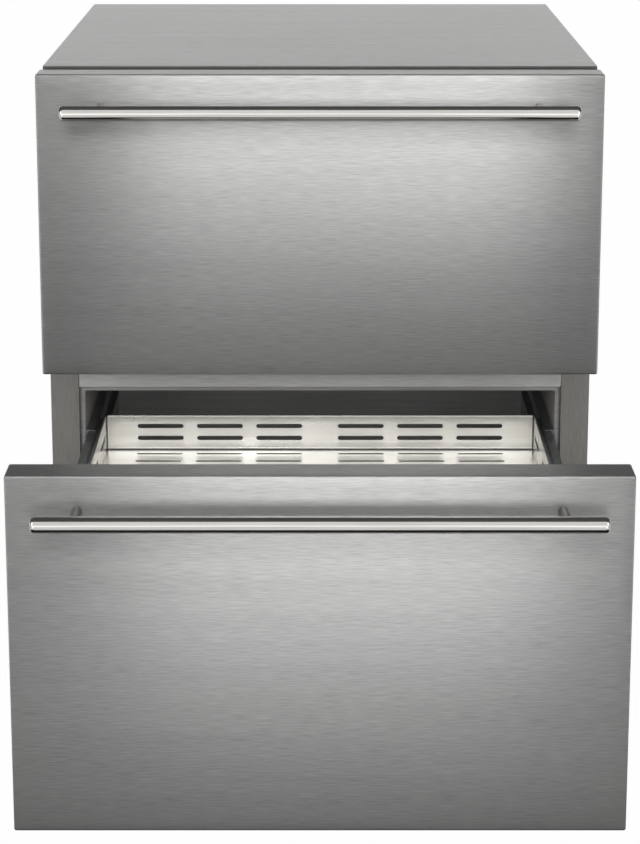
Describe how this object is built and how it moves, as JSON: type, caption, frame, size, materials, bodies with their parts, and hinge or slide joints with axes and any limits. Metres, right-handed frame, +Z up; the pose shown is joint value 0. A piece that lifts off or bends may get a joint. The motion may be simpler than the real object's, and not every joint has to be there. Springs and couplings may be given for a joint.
{
  "type": "undercounter drawer refrigerator",
  "caption": "Undercounter refrigerator with stainless drawer fronts, round bar handles and a slotted sheet bin on telescoping slides in each drawer.",
  "frame": {"origin": "centre of the footprint on the floor, measured over the whole object with the lower drawer pulled out as stored", "axes": "+Z up; the drawer fronts face -Y and the drawers pull out along -Y; +X is to the right of someone facing the fronts"},
  "size_m": [0.597, 1.022, 0.82],
  "materials": {
    "brushed": "brushed stainless, horizontal grain",
    "polished": "bright polished stainless sheet",
    "frame": "brushed stainless in shade, vertical grain",
    "zinc": "zinc-plated steel",
    "liner": "dark moulded liner",
    "rubber": "black gasket",
    "black_plastic": "black moulded plastic",
    "black_paint": "black paint",
    "can_paint": "black paint on the steel can",
    "grey_plastic": "grey moulded plastic",
    "foam": "pale rigid insulation foam",
    "aluminium": "bare aluminium fins",
    "copper": "drawn copper tube"
  },
  "bodies": {
    "cabinet": {"top_panel": "brushed", "left_side_panel": "brushed", "right_side_panel": "brushed", "back_panel": "zinc", "base_pan": "zinc", "toe_kick_grille": "black_paint", "left_stile": "frame", "right_stile": "frame", "top_rail": "frame", "mid_rail": "brushed", "bottom_rail": "frame", "upper_liner": "liner", "lower_liner": "liner", "foam_insulation": "foam", "evaporator": "aluminium", "evaporator_cover": "liner", "evaporator_fan_motor": "black_plastic", "thermostat_housing": "grey_plastic", "compressor": "can_paint", "condenser": "black_paint", "condenser_fan_motor": "black_plastic", "drip_tray": "black_plastic", "power_inlet": "black_plastic", "suction_line": "copper", "discharge_line": "copper", "slide_outer_upper_left": "zinc", "slide_outer_upper_right": "zinc", "slide_outer_lower_left": "zinc", "slide_outer_lower_right": "zinc"},
    "middle_upper_left": {"slide_middle_upper_left": "zinc"},
    "middle_upper_right": {"slide_middle_upper_right": "zinc"},
    "drawer_upper": {"front_skin_upper": "brushed", "front_core_upper": "foam", "front_liner_upper": "liner", "gasket_upper": "rubber", "handle_upper": "brushed", "bin_upper": "polished", "side_rail_upper_left": "zinc", "slide_inner_upper_left": "zinc", "side_rail_upper_right": "zinc", "slide_inner_upper_right": "zinc"},
    "middle_lower_left": {"slide_middle_lower_left": "zinc"},
    "middle_lower_right": {"slide_middle_lower_right": "zinc"},
    "drawer_lower": {"front_skin_lower": "brushed", "front_core_lower": "foam", "front_liner_lower": "liner", "gasket_lower": "rubber", "handle_lower": "brushed", "bin_lower": "polished", "side_rail_lower_left": "zinc", "slide_inner_lower_left": "zinc", "side_rail_lower_right": "zinc", "slide_inner_lower_right": "zinc"},
    "cold_fan": {"evaporator_fan_blade": "grey_plastic"},
    "warm_fan": {"condenser_fan_blade": "grey_plastic"},
    "knob": {"thermostat_knob": "black_plastic"},
    "foot_1": {"levelling_foot_1": "black_plastic"},
    "foot_2": {"levelling_foot_2": "black_plastic"},
    "foot_3": {"levelling_foot_3": "black_plastic"},
    "foot_4": {"levelling_foot_4": "black_plastic"}
  },
  "joints": [
    {"name": "drawer_lower", "type": "slide", "parent": "cabinet", "child": "drawer_lower", "axis": [0, -1, 0], "range_m": [-0.33, 0.04]},
    {"name": "drawer_upper", "type": "slide", "parent": "cabinet", "child": "drawer_upper", "axis": [0, -1, 0], "range_m": [0, 0.41]},
    {"name": "fan_condenser", "type": "hinge", "parent": "cabinet", "child": "warm_fan", "pos_m": [-0.085, 0.059, 0.0691], "axis": [0, 1, 0], "continuous": true},
    {"name": "fan_evaporator", "type": "hinge", "parent": "cabinet", "child": "cold_fan", "pos_m": [0.185, 0.412, 0.65], "axis": [0, 1, 0], "continuous": true},
    {"name": "levelling_foot_1", "type": "slide", "parent": "cabinet", "child": "foot_1", "axis": [0, 0, -1], "range_m": [0, 0.015]},
    {"name": "levelling_foot_2", "type": "slide", "parent": "cabinet", "child": "foot_2", "axis": [0, 0, -1], "range_m": [0, 0.015]},
    {"name": "levelling_foot_3", "type": "slide", "parent": "cabinet", "child": "foot_3", "axis": [0, 0, -1], "range_m": [0, 0.015]},
    {"name": "levelling_foot_4", "type": "slide", "parent": "cabinet", "child": "foot_4", "axis": [0, 0, -1], "range_m": [0, 0.015]},
    {"name": "slide_lower_left", "type": "slide", "parent": "cabinet", "child": "middle_lower_left", "axis": [0, -1, 0], "range_m": [-0.165, 0.02]},
    {"name": "slide_lower_right", "type": "slide", "parent": "cabinet", "child": "middle_lower_right", "axis": [0, -1, 0], "range_m": [-0.165, 0.02]},
    {"name": "slide_upper_left", "type": "slide", "parent": "cabinet", "child": "middle_upper_left", "axis": [0, -1, 0], "range_m": [0, 0.205]},
    {"name": "slide_upper_right", "type": "slide", "parent": "cabinet", "child": "middle_upper_right", "axis": [0, -1, 0], "range_m": [0, 0.205]},
    {"name": "thermostat_dial", "type": "hinge", "parent": "cabinet", "child": "knob", "pos_m": [0, 0.3772, 0.69], "axis": [0, -1, 0], "range_deg": [0, 270]}
  ],
  "couplings": [
    {"joint": "slide_lower_left", "follows": "drawer_lower", "ratio": 0.5},
    {"joint": "slide_lower_right", "follows": "drawer_lower", "ratio": 0.5},
    {"joint": "slide_upper_left", "follows": "drawer_upper", "ratio": 0.5},
    {"joint": "slide_upper_right", "follows": "drawer_upper", "ratio": 0.5}
  ]
}
